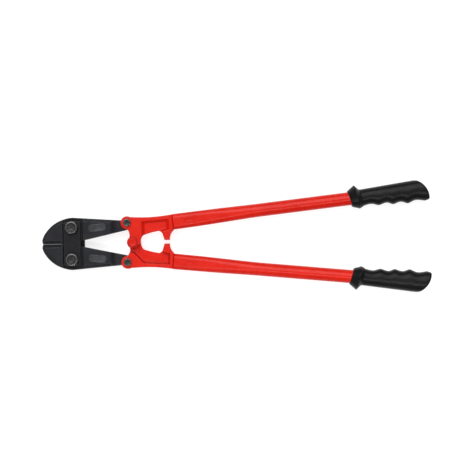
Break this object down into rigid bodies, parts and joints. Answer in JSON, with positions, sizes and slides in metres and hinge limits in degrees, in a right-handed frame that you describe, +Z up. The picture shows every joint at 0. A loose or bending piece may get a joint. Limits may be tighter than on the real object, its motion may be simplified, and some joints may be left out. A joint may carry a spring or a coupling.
{
  "type": "bolt cutter",
  "caption": "Compound-action bolt cutter for both hands: black forged jaws between bolted side plates, red handles on forged heads, ribbed black grips.",
  "frame": {"origin": "on the surface the tool lies on, under the middle of its length and width", "axes": "+X from the jaws to the grips along the tool's long axis, +Y across it towards the upper handle, +Z up out of the surface, along every pivot"},
  "size_m": [0.6033, 0.1744, 0.0349],
  "materials": {
    "jaw_steel": "black-oxidised forged steel, semi-matte, with ground bevels",
    "plate_steel": "black-oxidised flat steel plate, satin",
    "fastener_steel": "black-oxidised steel, satin",
    "red_paint": "glossy red enamel on steel",
    "grip_rubber": "black moulded rubber, semi-matte"
  },
  "bodies": {
    "head_links": {"front_side_plate": "plate_steel", "rear_side_plate": "plate_steel", "upper_jaw_bolt": "fastener_steel", "upper_jaw_washer": "fastener_steel", "upper_jaw_nut": "fastener_steel", "lower_jaw_bolt": "fastener_steel", "lower_jaw_washer": "fastener_steel", "lower_jaw_nut": "fastener_steel"},
    "upper_jaw_arm": {"upper_jaw": "jaw_steel"},
    "lower_jaw_arm": {"lower_jaw": "jaw_steel"},
    "upper_handle": {"upper_handle_head": "red_paint", "upper_tube": "red_paint", "upper_grip": "grip_rubber", "upper_link_bolt": "fastener_steel", "upper_link_washer": "fastener_steel", "upper_link_nut": "fastener_steel", "centre_bolt": "red_paint", "centre_washer": "fastener_steel", "centre_nut": "fastener_steel"},
    "lower_handle": {"lower_handle_head": "red_paint", "lower_tube": "red_paint", "lower_grip": "grip_rubber", "lower_link_bolt": "fastener_steel", "lower_link_washer": "fastener_steel", "lower_link_nut": "fastener_steel"}
  },
  "joints": [
    {"name": "upper_jaw_pivot", "type": "hinge", "parent": "head_links", "child": "upper_jaw_arm", "pos_m": [-0.255, 0.0248, 0.0175], "axis": [0, 0, 1], "range_deg": [-9.1, 0]},
    {"name": "lower_jaw_pivot", "type": "hinge", "parent": "head_links", "child": "lower_jaw_arm", "pos_m": [-0.255, -0.0248, 0.0175], "axis": [0, 0, 1], "range_deg": [0, 9.1]},
    {"name": "upper_handle_pivot", "type": "hinge", "parent": "upper_jaw_arm", "child": "upper_handle", "pos_m": [-0.1693, 0.0306, 0.0175], "axis": [0, 0, 1], "range_deg": [0, 54]},
    {"name": "lower_handle_pivot", "type": "hinge", "parent": "lower_jaw_arm", "child": "lower_handle", "pos_m": [-0.1693, -0.0306, 0.0175], "axis": [0, 0, 1], "range_deg": [-54.2, 0]}
  ],
  "couplings": [
    {"joint": "lower_handle_pivot", "follows": "upper_handle_pivot", "ratio": -1},
    {"joint": "upper_jaw_pivot", "follows": "upper_handle_pivot", "ratio": -0.167},
    {"joint": "lower_jaw_pivot", "follows": "upper_handle_pivot", "ratio": 0.167}
  ]
}
